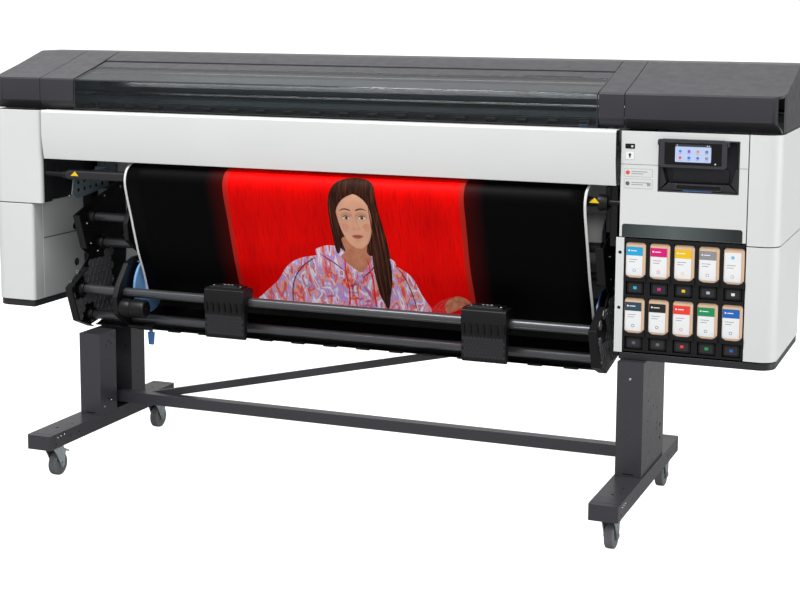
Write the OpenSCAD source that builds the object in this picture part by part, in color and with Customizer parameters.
// Wide roll-fed sign printer with a built-in cross cutter, on a wheeled stand.
// Millimetres. X runs along the machine, Y from its front to its back, Z up.
// The origin is on the floor, under the middle of the machine.

/* [Overall] */
// Width of the machine over its side panels
machine_w = 2583; // [2500:1:2700]
// Depth of the stand, front cap to back cap of a foot
stand_d = 777; // [760:1:820]
// Distance from the front end of a foot back to the front faces of the body
setback = 315; // [300:1:330]
// Depth of the body
body_d = 452; // [440:1:460]

/* [Heights] */
// Underside of the side pods
pod_bottom_z = 490; // [480:1:500]
// Seam between upper and lower side panels
pod_seam_z = 838; // [820:1:850]
// Top of the white panels
pod_top_z = 1147; // [1130:1:1160]
// Top of the front edge of the dark caps
cap_front_z = 1250; // [1240:1:1260]
// Highest line of the dark caps
cap_top_z = 1331; // [1320:1:1345]

/* [Stand] */
// Width of a foot
foot_w = 85.5; // [80:0.5:95]
// Underside of a foot
foot_bottom_z = 107; // [105:1:112]
// Height of a foot
foot_h = 46; // [40:1:50]
// Sheet thickness of the legs
leg_t = 3; // [2:0.5:4]
// Diameter of a caster wheel
wheel_d = 75; // [70:1:80]
// Width of a caster wheel
wheel_w = 30; // [24:1:32]
// Distance from a caster's swivel line to its axle
caster_trail = 26; // [22:1:30]

/* [Print bay] */
// Left end of the front beam
beam_x0 = -1083; // [-1090:1:-1075]
// Right end of the front beam
beam_x1 = 833; // [825:1:835]
// Left end of the window
window_x0 = -981; // [-990:1:-975]
// Right end of the window
window_x1 = 767; // [760:1:775]
// Thickness of the window
window_t = 4; // [3:0.5:5]

/* [Rolls] */
// Width of the loaded media
media_w = 1524; // [1400:1:1524]
// Outer diameter of the loaded media roll
roll_d = 150; // [100:1:160]
// Diameter of the four cross bars of the roll stations
bar_d = 30; // [26:1:34]
// Outer diameter of a core hub's flange
hub_flange_d = 190; // [150:1:192]
// Diameter of the part of a hub that fills a media core
hub_core_d = 75; // [74:0.5:76]

/* [Ink] */
// Width of an ink box
ink_w = 58; // [56:1:60]
// Height of an ink box
ink_h = 105; // [100:1:108]
// Length of an ink box
ink_len = 230; // [200:1:250]
// Distance between neighbouring ink boxes
ink_pitch = 69.5; // [68:0.5:71]

/* [Hidden] */
// Front faces of the body
front_y = -stand_d / 2 + setback;
half_w = machine_w / 2;
gap = 1;
wall = 4;
foot_top_z = foot_bottom_z + foot_h;
foot_xs = [-918, 894.5];
leg_xs = [-946, 855];
leg_w = 77;
leg_y0 = -30;
leg_y1 = 250;
left_leg_top_z = 424;
lower_beam = [[-1125, 268, 438], [836, 430, 500]];
caster_ys = [-238, 390];
wheel_r = wheel_d / 2;
axle_r = 5;
plate_t = 3;
fork_top_z = foot_bottom_z - plate_t - 2;
fork_t = 3;
kingpin_r = 6;

left_pod_x1 = -1098;
left_wall_x = -1135;
right_pod_x0 = 845;
panel_x1 = 1201.5;
corner_r = 45;
bay_x0 = 861;
bay_x1 = 1201;
bay_z0 = 515;
bay_z1 = 842;
ink_x0 = 864;
ink_rows = [565, 725];

// Section of the dark caps: depth and height of each corner
slope_y = 300;
window_back_y = 164;
hinge_at = [208, 1287];
hinge_pin_r = 4;
hinge_bore_r = 4.05;
cap_profile = [
    [38, pod_top_z + 4], [25, pod_top_z + 32], [25, cap_front_z - 3], [29, cap_front_z + 2],
    [window_back_y, 1288], [slope_y, cap_top_z - 2], [slope_y + 14, cap_top_z],
    [425, cap_top_z], [438, cap_top_z - 4], [448, cap_top_z - 14], [body_d, cap_top_z - 28],
    [body_d, pod_top_z + 4]
];
cap_inner = [
    [42, pod_top_z + 3], [29, pod_top_z + 31], [29, cap_front_z - 5],
    [window_back_y, 1284 - 0.3], [slope_y, cap_top_z - 6.5], [slope_y + 14, cap_top_z - 4],
    [425, cap_top_z - 4], [446, cap_top_z - 18], [body_d - 4, cap_top_z - 28],
    [body_d - 4, pod_top_z + 3]
];

// Axes of the two roll stations and their cross bars, as depth and height
station_step = [74, 233];
lower_axis = [158, 566];
upper_axis = lower_axis + station_step;
bar_lower_front = [40, 558];
bar_lower_back = [90, 464];
bar_upper_front = bar_lower_front + station_step;
bar_upper_back = bar_lower_back + station_step;
plate_left_x = -990;
plate_right_x = 790;
roll_x0 = -772;
hub_plate_x1 = roll_x0 - 39;
hub_plate_t = 18;
roll_x1 = roll_x0 + media_w;
hub_t = 14;
stub_r = 14.95;
stub_bore_r = 15;

// Centre line of the hanging print, from the slot down to its lower edge
sheet_t = 1;
sheet_path = [
    [76, 1120], [77, 1060], [77, 1012], [66, 992], [44, 986], [19, 982], [-7, 968],
    [-20, 942], [-19, 914], [-8, 875], [15, 809], [29, 765], [44, 720], [59, 680],
    [75, 645], [91, 608], [103, 575], [110, 550]
];

rod_r = 10;
rod_y = 322;
rod_zs = [1190, 1262];
carriage_x = 1010;
carriage_w = 190;
cutter_x = 800;

$fn = 48;

// ---- helpers -------------------------------------------------------------

// Places children so that their depth 0 is the front face of the body
module at_front() {
    translate([0, front_y, 0]) children();
}

// A box between two corners, its depth measured from the body's front face
module block(lo, hi) {
    at_front() translate(lo) cube(hi - lo);
}

// A section given as depth and height, run along X from x0 to x1
module along_x(x0, x1, points) {
    at_front() translate([x0, 0, 0]) rotate([90, 0, 90]) linear_extrude(x1 - x0) polygon(points);
}

// A cylinder along X through a point given as depth and height
module rod_x(x0, x1, r, at) {
    at_front() translate([x0, at[0], at[1]]) rotate([0, 90, 0]) cylinder(r = r, h = x1 - x0);
}

// A cylinder along Y
module rod_y(x, y0, y1, z, r) {
    at_front() translate([x, y0, z]) rotate([-90, 0, 0]) cylinder(r = r, h = y1 - y0);
}

// A cylinder along Z
module rod_z(x, y, z0, z1, r) {
    at_front() translate([x, y, z0]) cylinder(r = r, h = z1 - z0);
}

// A rectangle from the origin with rounded front corners, r1 at X = 0 and r2 at X = w
module front_rounded(w, d, r1, r2) {
    translate([0, max(r1, r2)]) square([w, d - max(r1, r2)]);
    translate([r1, 0]) square([w - r1 - r2, max(r1, r2) + 1]);
    translate([r1, r1]) circle(r1);
    translate([w - r2, r2]) circle(r2);
    translate([0, r1]) square([r1, max(r1, r2) - r1 + 1]);
    translate([w - r2, r2]) square([r2, max(r1, r2) - r2 + 1]);
}

// An upright plate bent round the front corners of a side pod, open at the back.
// It reaches left_d deep on its left side and right_d deep on its right side.
module pod_shell(x0, x1, z0, z1, r1, r2, left_d, right_d) {
    at_front() translate([x0, 0, z0]) linear_extrude(z1 - z0) difference() {
        front_rounded(x1 - x0, body_d - 6, r1, r2);
        translate([wall, wall]) front_rounded(x1 - x0 - 2 * wall, body_d, r1 - wall, r2 - wall);
        translate([-1, left_d]) square([wall + 2, body_d]);
        translate([x1 - x0 - wall - 1, right_d]) square([wall + 2, body_d]);
    }
}

// ---- stand ---------------------------------------------------------------

// A foot: a tube with plastic end caps, bored for screws
module foot(x) {
    cap_len = 24;
    difference() {
        union() {
            block([x - foot_w / 2, -setback + cap_len, foot_bottom_z],
                  [x + foot_w / 2, stand_d - setback - cap_len, foot_top_z]);
            for (end = [0, 1]) at_front() {
                y_cap = end == 0 ? -setback : stand_d - setback - cap_len + 0.5;
                translate([x - foot_w / 2, y_cap, foot_bottom_z])
                    translate([0, end == 0 ? 0 : cap_len - 0.5, 0])
                    mirror([0, end, 0])
                    linear_extrude(foot_h) front_rounded(foot_w, cap_len - 0.5, 7, 7);
            }
        }
        for (side = [-1, 1], y = [-200, -150, 300, 350])
            at_front() translate([x + side * foot_w / 2, y, foot_bottom_z + foot_h / 2])
                rotate([0, 90, 0]) cylinder(r = 3, h = 6, center = true);
        for (y = [-210, 330]) rod_z(x, y, foot_top_z - 3, foot_top_z + 1, 5);
    }
}
module foot_left() { color("#4d4b51") foot(foot_xs[0]); }
module foot_right() { color("#4d4b51") foot(foot_xs[1]); }

// A leg: a front and a rear tube on one outer plate, open between them towards the
// middle of the machine
module leg(x0, side, top_z) {
    base_z = foot_top_z + 0.5;
    plate_x = side < 0 ? x0 : x0 + leg_w - leg_t;
    outer_x = side < 0 ? x0 : x0 + leg_w;
    for (y = [[leg_y0, 68], [164, leg_y1]]) difference() {
        block([x0, y[0], base_z], [x0 + leg_w, y[1], top_z]);
        block([x0 + leg_t, y[0] + leg_t, base_z + 4], [x0 + leg_w - leg_t, y[1] - leg_t, top_z - 4]);
        for (z = [base_z + 60, base_z + 100]) at_front()
            translate([outer_x, 205, z]) rotate([0, 90, 0]) cylinder(r = 6, h = 10, center = true);
        for (z = [base_z + 30, base_z + 150, base_z + 210]) at_front()
            translate([outer_x, 40, z]) rotate([0, 90, 0]) cylinder(r = 3, h = 10, center = true);
    }
    block([plate_x, 68.3, base_z], [plate_x + leg_t, 163.7, top_z]);
}
// The left leg carries the lower beam on a short riser
module leg_left() {
    color("#4d4b51") {
        leg(leg_xs[0], -1, left_leg_top_z);
        block([leg_xs[0], leg_y1 - 40, left_leg_top_z + 0.01], [leg_xs[0] + leg_w, 330, 430]);
        block([leg_xs[0], 262, 430.01], [leg_xs[0] + leg_w, 330, lower_beam[0][2] - 0.5]);
    }
}
module leg_right() { color("#5b595f") leg(leg_xs[1], 1, pod_bottom_z - gap); }

// The lower tube between the legs with its two fixing plates
crossbar_lo = [leg_xs[0] + leg_t + 4.5, 98, 170];
crossbar_hi = [leg_xs[1] + leg_w - leg_t - 4.5, 134, 206];
module crossbar() {
    color("#4d4b51") {
        difference() {
            block(crossbar_lo, crossbar_hi);
            block(crossbar_lo + [-1, 2, 2], crossbar_hi + [1, -2, -2]);
        }
        for (x = [leg_xs[0] + leg_t + 0.5, leg_xs[1] + leg_w - leg_t - 3.5])
            along_x(x, x + 3, [[76, 160], [156, 160], [156, 216], [140, 300], [92, 300], [76, 216]]);
    }
}

// The sloping bar from the foot of the left leg up to the lower beam
brace_lo = [leg_xs[0] + leg_w + 1, 160];
brace_hi = [340, 428];
module brace() {
    depth = 14;
    height = 25;
    color("#4d4b51") {
        at_front() translate([0, 150, 0]) rotate([90, 0, 0]) linear_extrude(depth) polygon([
            brace_lo, brace_lo + [0, height], brace_hi - [height * 4.2, 0], brace_hi
        ]);
        block([brace_hi[0] - 90, 164.3, 422], [brace_hi[0] - 10, 300, 427.5]);
        block([brace_hi[0] - 90, 270, 427.8], [brace_hi[0] - 10, 300, lower_beam[0][2] - 0.5]);
    }
}

module at_casters() {
    for (x = foot_xs, y = caster_ys) at_front() translate([x, y, 0]) children();
}
module caster_plates() {
    color("#b9c3c6") at_casters() {
        translate([-35, -32, foot_bottom_z - plate_t]) cube([70, 64, plate_t - 0.3]);
        translate([0, 0, 90]) cylinder(r = kingpin_r, h = foot_bottom_z - plate_t - 90 + 1);
        translate([0, 0, 90]) cylinder(r = kingpin_r + 3, h = 6);
    }
}

// One caster fork with its axle and its foot brake
module caster_fork(i, j) {
    fork_x = wheel_w / 2 + 1.5;
    color("#b9c3c6") at_front() translate([foot_xs[i], caster_ys[j], 0]) {
        difference() {
            translate([-fork_x - fork_t, -24, fork_top_z - fork_t])
                cube([2 * (fork_x + fork_t), 52, fork_t]);
            translate([0, 0, fork_top_z - fork_t - 1]) cylinder(r = kingpin_r + 0.05, h = fork_t + 2);
        }
        for (x = [-fork_x - fork_t, fork_x]) translate([x, 0, 0])
            rotate([90, 0, 90]) linear_extrude(fork_t) {
                polygon([[-24, fork_top_z - 1], [28, fork_top_z - 1], [44, 74],
                         [caster_trail + 11, wheel_r], [caster_trail - 11, wheel_r], [-4, 72]]);
                translate([caster_trail, wheel_r]) circle(11);
            }
        translate([-fork_x - fork_t - 2, caster_trail, wheel_r]) rotate([0, 90, 0])
            cylinder(r = axle_r, h = 2 * (fork_x + fork_t + 2));
        translate([-fork_x - 0.01, 0, 0]) rotate([90, 0, 90]) linear_extrude(2 * fork_x + 0.02)
            polygon([[30, 83], [64, 68], [70, 66], [66, 73], [32, 88]]);
    }
}
module caster_wheel(i, j) {
    color("#2c2d30") at_front() translate([foot_xs[i], caster_ys[j] + caster_trail, wheel_r])
        rotate([0, 90, 0]) rotate_extrude($fn = 96) polygon([
            [axle_r + 0.05, -wheel_w / 2], [12, -wheel_w / 2], [13, -wheel_w / 2 + 3],
            [28, -wheel_w / 2 + 3], [29, -wheel_w / 2 + 1], [wheel_r - 4, -wheel_w / 2 + 1],
            [wheel_r, -wheel_w / 2 + 6], [wheel_r, wheel_w / 2 - 6], [wheel_r - 4, wheel_w / 2 - 1],
            [29, wheel_w / 2 - 1], [28, wheel_w / 2 - 3], [13, wheel_w / 2 - 3],
            [12, wheel_w / 2], [axle_r + 0.05, wheel_w / 2]
        ]);
}
module caster_fork_fl() { caster_fork(0, 0); }
module caster_fork_fr() { caster_fork(1, 0); }
module caster_fork_rl() { caster_fork(0, 1); }
module caster_fork_rr() { caster_fork(1, 1); }
module caster_wheel_fl() { caster_wheel(0, 0); }
module caster_wheel_fr() { caster_wheel(1, 0); }
module caster_wheel_rl() { caster_wheel(0, 1); }
module caster_wheel_rr() { caster_wheel(1, 1); }

// ---- body ----------------------------------------------------------------

// Black bases under both pods and the dark inner side walls
module pod_liners() {
    color("#35333a") {
        at_front() translate([-half_w + 3, 3, pod_bottom_z]) linear_extrude(20)
            front_rounded(left_wall_x + half_w - 6, body_d - 9, corner_r, 8);
        at_front() translate([right_pod_x0 + 3, 3, pod_bottom_z]) linear_extrude(20)
            front_rounded(half_w - right_pod_x0 - 6, body_d - 9, 8, corner_r);
        block([left_wall_x - wall, 302.5, 512], [left_wall_x, 446, pod_top_z]);
        block([left_wall_x - wall, 74, pod_seam_z + 3], [left_wall_x, 301.5, pod_top_z]);
        block([left_wall_x + 0.3, 17, pod_seam_z + 3], [left_pod_x1 - 1, 62, 988]);
        block([right_pod_x0, 6, 512], [right_pod_x0 + wall, 446, pod_top_z]);
    }
}
module left_side_panels() {
    color("#e4e6e5") {
        pod_shell(-half_w, left_pod_x1, pod_seam_z + 1.5, pod_top_z, corner_r, 12, body_d, 16);
        pod_shell(-half_w, left_wall_x, 512, pod_seam_z - 1.5, corner_r, 12, body_d, 54);
        block([left_wall_x - wall, 56, 512], [left_wall_x, 301.5, 714]);
        block([left_wall_x - wall, 56, 716], [left_wall_x, 301.5, pod_seam_z]);
    }
}
module right_side_panels() {
    color("#e4e6e5") for (z = [[pod_seam_z + 1.5, pod_top_z], [514, pod_seam_z - 1.5]])
        pod_shell(panel_x1 + 2, half_w, z[0], z[1], 5, corner_r, 5, body_d);
}

recess_lo = [952, 980];
recess_hi = [1177, 1127];
button_at = [870, 1104];
module right_front_panel() {
    color("#e4e6e5") {
        difference() {
            block([right_pod_x0, 0, 846], [panel_x1, wall, pod_top_z]);
            block([recess_lo[0] - 1, -1, recess_lo[1] - 1], [recess_hi[0] + 1, wall + 1, recess_hi[1] + 1]);
            block([button_at[0] - 14, -1, button_at[1] - 7], [button_at[0] + 14, wall + 1, button_at[1] + 7]);
        }
        difference() {
            block([836, 0, 511], [859.5, wall, 843]);
            for (z = [640, 800]) rod_y(848, -1, wall + 1, z, 5);
        }
    }
}
panel_lo = [958, -18, 1050];
panel_hi = [1145, -4, 1130];
panel_axis = [-10, 1122];
// The dark pocket behind the touch panel, with the two ears that carry its hinge stubs
module panel_recess() {
    color("#3a383d") {
        difference() {
            block([recess_lo[0], 0.5, recess_lo[1]], [recess_hi[0], 46, recess_hi[1]]);
            block([recess_lo[0] + 3, -1, recess_lo[1] + 3], [recess_hi[0] - 3, 43, recess_hi[1] - 3]);
        }
        for (x = [recess_lo[0], panel_hi[0] + 1])
            block([x, -16, 1112], [x + 5, 20, 1126]);
        rod_x(panel_lo[0] - 2, panel_lo[0] + 7, 3, panel_axis);
        rod_x(panel_hi[0] - 7, panel_hi[0] + 2, 3, panel_axis);
    }
}
module touch_panel() {
    color("#2a292d") difference() {
        block(panel_lo, panel_hi);
        rod_x(panel_lo[0] - 1, panel_lo[0] + 8, 3.05, panel_axis);
        rod_x(panel_hi[0] - 8, panel_hi[0] + 1, 3.05, panel_axis);
    }
}
module power_button() {
    color("#2a292d") {
        block([button_at[0] - 12, -2, button_at[1] - 5], [button_at[0] + 12, 8, button_at[1] + 5]);
    }
}

// The black tray with ten pockets, built up from plain walls that stand a hair apart, and
// the ink boxes in it
function pocket_edges() = concat([bay_x0], [for (i = [0:4]) each [
    ink_x0 + i * ink_pitch - 0.6, ink_x0 + i * ink_pitch + ink_w + 0.6]], [bay_x1]);
module cartridge_bay() {
    tops = [for (z = ink_rows) z + ink_h + 0.6];
    floors = [for (z = ink_rows) z - 0.6];
    x = pocket_edges();
    color("#1f1e22") {
        block([bay_x0, 240.3, bay_z0], [bay_x1, 300, bay_z1]);
        block([bay_x0, 14.3, bay_z0], [bay_x1, 240, floors[0] - 0.2]);
        block([bay_x0, 14.3, tops[0] + 0.2], [bay_x1, 240, floors[1] - 0.2]);
        block([bay_x0, 1, tops[1] + 0.2], [bay_x1, 240, bay_z1]);
        for (z = floors, i = [0:5])
            block([x[2 * i], 1, z], [x[2 * i + 1], 240, z + ink_h + 1.2]);
        for (r = [0, 1]) {
            z = ink_rows[r];
            block([bay_x0, 1, z - 6], [bay_x1, 14, z - 0.8]);
            block([bay_x0, 1, r == 0 ? bay_z0 : tops[0] + 0.2], [bay_x1, 14, z - 44]);
            for (i = [0:5])
                block([x[2 * i] + (i == 0 ? 0 : -3.4), 1, z - 43.8],
                      [x[2 * i + 1] + (i == 5 ? 0 : 3.4), 14, z - 6.2]);
        }
    }
}
module ink_box(i, row) {
    difference() {
        block([ink_x0 + i * ink_pitch, 5, ink_rows[row]],
              [ink_x0 + i * ink_pitch + ink_w, 5 + ink_len, ink_rows[row] + ink_h]);
        rod_y(ink_x0 + i * ink_pitch + ink_w / 2, 4, 12, ink_rows[row] + 16, 8);
    }
}
module ink_cyan() { color("#18a5d8") ink_box(0, 1); }
module ink_magenta() { color("#d6006f") ink_box(1, 1); }
module ink_yellow() { color("#f2c300") ink_box(2, 1); }
module ink_grey() { color("#8c8c8f") ink_box(3, 1); }
module ink_light_cyan() { color("#d8e4e6") ink_box(4, 1); }
module ink_slate() { color("#22333f") ink_box(0, 0); }
module ink_black() { color("#1f1c24") ink_box(1, 0); }
module ink_red() { color("#ee3a2f") ink_box(2, 0); }
module ink_green() { color("#0e8f55") ink_box(3, 0); }
module ink_blue() { color("#1062b4") ink_box(4, 0); }

module front_beam() {
    color("#e4e6e5") along_x(beam_x0, beam_x1, [
        [-5, 990], [12, 990], [12, 993], [-1.5, 993], [-13.7, 1062], [-14, 1141], [-9.5, 1146.5],
        [22, 1146.5], [22, 1149.5], [-11, 1149.5], [-17, 1143], [-17, 1062]
    ]);
}

// A length of the dark hood; its ends are closed where asked
module hood_shell(x0, x1, close_left, close_right) {
    difference() {
        along_x(x0, x1, cap_profile);
        along_x(x0 + (close_left ? wall : -1), x1 - (close_right ? wall : -1), cap_inner);
    }
}
module corner_cut(x0, x1, r1, r2) {
    at_front() translate([x0, 25, pod_top_z]) linear_extrude(300)
        front_rounded(x1 - x0, body_d, r1, r2);
}
module left_cap() {
    color("#4a4950") intersection() {
        hood_shell(-half_w, -1113, true, false);
        corner_cut(-half_w, -1113, corner_r - 10, 2);
    }
}
module right_cap() {
    color("#4a4950") intersection() {
        hood_shell(right_pod_x0 + 1, half_w, false, true);
        corner_cut(right_pod_x0 + 1, half_w, 2, corner_r - 10);
    }
}
// The two fixed hood sections beside the window; each holds a hinge pin
module hood_end_caps() {
    color("#4a4950") {
        hood_shell(-1111, window_x0 - 3, false, false);
        hood_shell(window_x1 + 3, right_pod_x0 - 1, false, false);
        for (x = [[window_x0 - 14, window_x0 + 20], [window_x1 - 20, window_x1 + 14]])
            rod_x(x[0], x[1], hinge_pin_r, hinge_at);
        for (x = [window_x0 - 14, window_x1 + 4])
            block([x, hinge_at[0] - 7, hinge_at[1] - 7], [x + 10, hinge_at[0] + 7, 1297]);
    }
}
window_front_z = 1246;
module window() {
    knuckle = 18;
    color("#2a3336", 0.5) difference() {
        union() {
            along_x(window_x0, window_x1, [
                [25, 1153], [25, window_front_z - 3], [29, window_front_z - 3], [29, 1153]
            ]);
            along_x(window_x0, window_x1, [
                [25, window_front_z - 2.8], [25, window_front_z], [28, window_front_z + 4],
                [window_back_y, 1285], [window_back_y + 0.6, 1281], [30.2, window_front_z + 0.3],
                [29, window_front_z - 1], [29, window_front_z - 2.8]
            ]);
            along_x(window_x0, window_x1, [
                [window_back_y + 0.2, 1285.1], [216, 1300], [216, 1296], [window_back_y + 0.8, 1281.2]
            ]);
            for (x = [window_x0 + 1, window_x1 - 1 - knuckle])
                rod_x(x, x + knuckle, hinge_pin_r + 4, hinge_at);
        }
        rod_x(window_x0 - 1, window_x0 + 22, hinge_bore_r, hinge_at);
        rod_x(window_x1 - 22, window_x1 + 1, hinge_bore_r, hinge_at);
    }
}
module rear_top_cover() {
    color("#4a4950") along_x(window_x0 - 1, window_x1 + 1, [
        [222, 1304], [slope_y, cap_top_z - 2], [slope_y + 14, cap_top_z], [425, cap_top_z],
        [438, cap_top_z - 4], [448, cap_top_z - 14], [body_d, cap_top_z - 28], [body_d, pod_top_z + 4],
        [body_d - 4, pod_top_z + 4], [body_d - 4, cap_top_z - 28], [446, cap_top_z - 18],
        [425, cap_top_z - 4], [slope_y + 14, cap_top_z - 4], [slope_y, cap_top_z - 6], [222, 1300]
    ]);
}

// Back wall with the mains inlet, a switch opening and two data sockets
module rear_panel() {
    color("#d9dbda") {
        difference() {
            block([-half_w + 4, 447, 500], [half_w - 4, body_d, pod_top_z + 2]);
            block([1100, 446, 560], [1150, body_d + 1, 592]);
            block([1160, 446, 562], [1184, body_d + 1, 590]);
            for (x = [1030, 1056]) block([x, 446, 566], [x + 17, body_d + 1, 582]);
        }
        for (x = [1108, 1121, 1134]) block([x, 436, 572], [x + 5, body_d - 2, 576]);
        block([1101, 430, 561], [1149, 436, 591]);
        block([1161, 437, 563], [1183, body_d, 589]);
    }
}

// Folded chassis beams with their end plates, posts and roller bearings
module main_beam() {
    color("#9a9da0") {
        difference() {
            block([-1250, 356, 1156], [1250, 440, 1296]);
            block([-1251, 360, 1160], [1251, 436, 1292]);
        }
        for (x = [-1266, 1257]) block([x, 300, 1160], [x + 9, 440, 1300]);
        difference() {
            block(lower_beam[0], lower_beam[1]);
            block(lower_beam[0] + [-1, 4, 4], lower_beam[1] + [1, -4, -4]);
        }
        for (x = [-1120, 796]) difference() {
            block([x, 372, 500.5], [x + 36, 438, 1155.5]);
            block([x + 4, 376, 500], [x + 32, 434, 1156]);
        }
        for (x = [-1004, 770]) difference() {
            block([x, 148, 1108], [x + 14, 180, 1147]);
            rod_x(x - 1, x + 15, 8.05, [164, 1128]);
        }
    }
}
module slider_rods() {
    color("#c8cccd") for (z = rod_zs) rod_x(-1256.5, 1256.5, rod_r, [rod_y, z]);
}
module print_carriage() {
    color("#2a292d") {
        block([carriage_x - carriage_w / 2, 150, 1172], [carriage_x + carriage_w / 2, 300, 1262]);
        difference() {
            block([carriage_x - carriage_w / 2, 300, 1172], [carriage_x + carriage_w / 2, 344, 1284]);
            for (z = rod_zs)
                rod_x(carriage_x - carriage_w, carriage_x + carriage_w, rod_r + 0.05, [rod_y, z]);
        }
    }
}
// Platen plate under the window, the pinch roller rail and the cutter's rail
module print_platen() {
    color("#2e3033") {
        block([window_x0 + 4, 84, 1126], [window_x1 - 4, 146, 1146]);
        block([window_x0 + 4, 184, 1120], [window_x1 - 4, 296, 1146]);
        along_x(beam_x0 + 2, beam_x1 - 2, [[24, 1104], [32, 1104], [32, 1138], [24, 1138]]);
    }
}
module feed_roller() {
    color("#5a5c5e") {
        rod_x(window_x0 + 8, window_x1 - 8, 15, [164, 1128]);
        rod_x(-1004, 784, 8, [164, 1128]);
    }
}
module cutter_carriage() {
    color("#3b6fae") {
        block([cutter_x - 22, 33, 1098], [cutter_x + 22, 66, 1146]);
        rod_y(cutter_x, 66, 70, 1122, 13);
    }
}
module output_platen() {
    color("#2e3033") {
        block([-1020, 12, 926], [806, 48, 950]);
        rod_x(-1020, 806, 12, [12, 938]);
        for (x = [[-1097, -1020], [806, right_pod_x0 - 0.5]]) rod_x(x[0], x[1], 9, [26, 938]);
    }
}

// ---- roll stations -------------------------------------------------------

plate_outline = [
    [14, 804], [150, 850], [334, 896], [340, 700], [322, 540], [306, 502], [266, 502], [266, 466], [252, 452], [86, 422], [2, 456],
    [-41, 572], [60, 626], [98, 660], [55, 690]
];
// A moulded end plate with a lip along its front edges
module end_plate(x, lip) {
    along_x(x, x + 5, plate_outline);
    x0 = lip > 0 ? x + 5 : x - lip_w;
    for (e = [[[14, 804], [55, 690]], [[-41, 572], [2, 456]]])
        along_x(x0, x0 + lip_w, [e[0], e[0] + [7, 0], e[1] + [7, 0], e[1]]);
    along_x(x0, x0 + lip_w, [[2, 456], [7, 458], [88, 426], [86, 422]]);
    along_x(x0, x0 + lip_w, [[-41, 572], [-34, 572], [62, 622], [60, 626]]);
}
lip_w = 20;
module roll_plates() {
    color("#222327") {
        end_plate(plate_left_x, 1);
        end_plate(plate_right_x, -1);
        for (a = [lower_axis, upper_axis]) {
            rod_x(706, plate_right_x, stub_r, a);
            rod_x(774, plate_right_x, 32, a);
        }
        for (z = [700, 860]) block([plate_left_x - 144, 300, z], [plate_left_x, 330, z + 30]);
        for (z = [700, 860]) block([plate_right_x + 5, 300, z], [right_pod_x0 - 1, 330, z + 30]);
    }
}
module roll_bars() {
    color("#232427") for (b = [bar_lower_front, bar_lower_back, bar_upper_front, bar_upper_back])
        rod_x(plate_left_x + 5.5, plate_right_x - 0.5, bar_d / 2, b);
}
// The trough under the lower roll, with its row of tabs
module lower_deflector() {
    x0 = plate_left_x + 26;
    x1 = plate_right_x - 22;
    color("#1f1f22") {
        along_x(x0, x1, [[98, 426], [104, 426], [260, 468], [264, 472], [264, 610], [260, 610],
                         [260, 474], [103, 430], [98, 432]]);
        for (i = [0:14]) block([x0 + 60 + i * 112, 84, 426], [x0 + 104 + i * 112, 99, 431]);
    }
}

hub_plate_outline = [
    [-14, 548], [6, 586], [60, 650], [110, 664], [190, 664], [228, 630], [228, 506], [180, 476],
    [112, 446], [70, 441], [-6, 490]
];
// A sliding plate on two bars that carries the stub of a left hub
module hub_carriage(at) {
    difference() {
        along_x(hub_plate_x1 - hub_plate_t, hub_plate_x1, [for (p = hub_plate_outline) p + at]);
        for (b = [bar_lower_front, bar_lower_back])
            rod_x(hub_plate_x1 - hub_plate_t - 1, hub_plate_x1 + 1, bar_d / 2 + 0.05, b + at);
    }
    rod_x(hub_plate_x1 - 1, hub_plate_x1 + 70, stub_r, lower_axis + at);
}
knob_at = [14, 512];
module hub_carriage_lower() {
    color("#26272a") {
        hub_carriage([0, 0]);
        rod_x(hub_plate_x1 - 1, hub_plate_x1 + 96, 6, knob_at);
    }
}
module hub_carriage_upper() { color("#26272a") hub_carriage(station_step); }

// A hub: a flange and a boss that fills the core; dir is -1 where the boss points left
module hub(x, dir, at, core_r) {
    color("#7fb3e6") at_front() translate([x, at[0], at[1]]) rotate([0, dir * 90, 0]) difference() {
        union() {
            cylinder(r = hub_flange_d / 2, h = hub_t);
            cylinder(r = core_r, h = hub_t + 50);
        }
        translate([0, 0, -1]) cylinder(r = stub_bore_r, h = hub_t + 60);
    }
}
module hub_lower_left() { hub(roll_x0 - 25, 1, lower_axis, hub_core_d / 2); }
module hub_upper_left() { hub(roll_x0 - 18, 1, upper_axis, hub_core_d / 2); }
module hub_lower_right() { hub(770, -1, lower_axis, hub_core_d / 2); }
// The roll of media with its right hub; the core fits over both hubs
module media_roll() {
    color("#f2f2ef") difference() {
        rod_x(roll_x0, roll_x1, roll_d / 2, upper_axis);
        rod_x(roll_x0 - 1, roll_x1 + 1, hub_core_d / 2 + 0.5, upper_axis);
    }
    hub(770, -1, upper_axis, hub_core_d / 2);
}
module lock_knob() {
    color("#2a2b2f") difference() {
        at_front() translate([hub_plate_x1 + 2, knob_at[0], knob_at[1]]) rotate([0, 90, 0])
            cylinder(r = 31, h = 92, $fn = 8);
        rod_x(hub_plate_x1 + 1, hub_plate_x1 + 95, 6.05, knob_at);
    }
}

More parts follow.
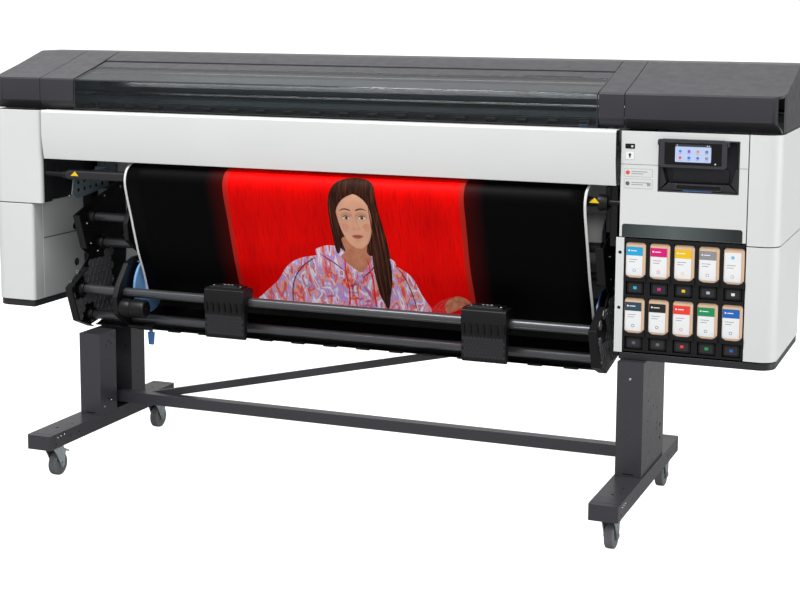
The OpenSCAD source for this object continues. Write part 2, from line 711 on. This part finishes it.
// A loading support: a clamp round the lower front bar with a hanging pad in front
module loading_support(x0) {
    color("#28292c") difference() {
        along_x(x0, x0 + 141, [
            [-10, 562], [-4, 598], [6, 604], [50, 604], [62, 592], [62, 545], [52, 532], [24, 532],
            [20, 452], [14, 441], [6, 441], [0, 452], [-2, 530]
        ]);
        rod_x(x0 - 1, x0 + 142, bar_d / 2 + 0.05, bar_lower_front);
    }
}
module loading_support_left() { loading_support(-495); }
module loading_support_right() { loading_support(371); }

// The printed sheet: a thin band along its centre line
function unit(v) = v / norm(v);
function normal_at(p, i) =
    let (d = unit(p[min(i + 1, len(p) - 1)] - p[max(i - 1, 0)])) [-d[1], d[0]];
function spline(a, b, c, d, t) =
    0.5 * (2 * b + (c - a) * t + (2 * a - 5 * b + 4 * c - d) * t * t
    + (3 * b - 3 * c + d - a) * t * t * t);
function smooth(p, steps) = [
    for (i = [0:len(p) - 2], s = [0:steps - 1])
        spline(p[max(i - 1, 0)], p[i], p[i + 1], p[min(i + 2, len(p) - 1)], s / steps),
    p[len(p) - 1]
];
module media_sheet() {
    path = smooth(sheet_path, 4);
    n = len(path);
    side = [for (k = [-1, 1]) [for (i = [0:n - 1]) path[i] + normal_at(path, i) * k * sheet_t / 2]];
    color("#d01515") along_x(roll_x0, roll_x1, concat(side[0], [for (i = [n - 1:-1:0]) side[1][i]]));
}

foot_left();
foot_right();
leg_left();
leg_right();
crossbar();
brace();
caster_plates();
pod_liners();
left_side_panels();
right_side_panels();
right_front_panel();
panel_recess();
cartridge_bay();
front_beam();
left_cap();
right_cap();
hood_end_caps();
rear_top_cover();
rear_panel();
main_beam();
print_platen();
slider_rods();
output_platen();
roll_plates();
roll_bars();
lower_deflector();
media_sheet();
window();
touch_panel();
power_button();
print_carriage();
cutter_carriage();
feed_roller();
ink_cyan();
ink_magenta();
ink_yellow();
ink_grey();
ink_light_cyan();
ink_slate();
ink_black();
ink_red();
ink_green();
ink_blue();
caster_fork_fl();
caster_fork_fr();
caster_fork_rl();
caster_fork_rr();
caster_wheel_fl();
caster_wheel_fr();
caster_wheel_rl();
caster_wheel_rr();
hub_carriage_lower();
hub_carriage_upper();
hub_lower_left();
hub_lower_right();
hub_upper_left();
media_roll();
lock_knob();
loading_support_left();
loading_support_right();
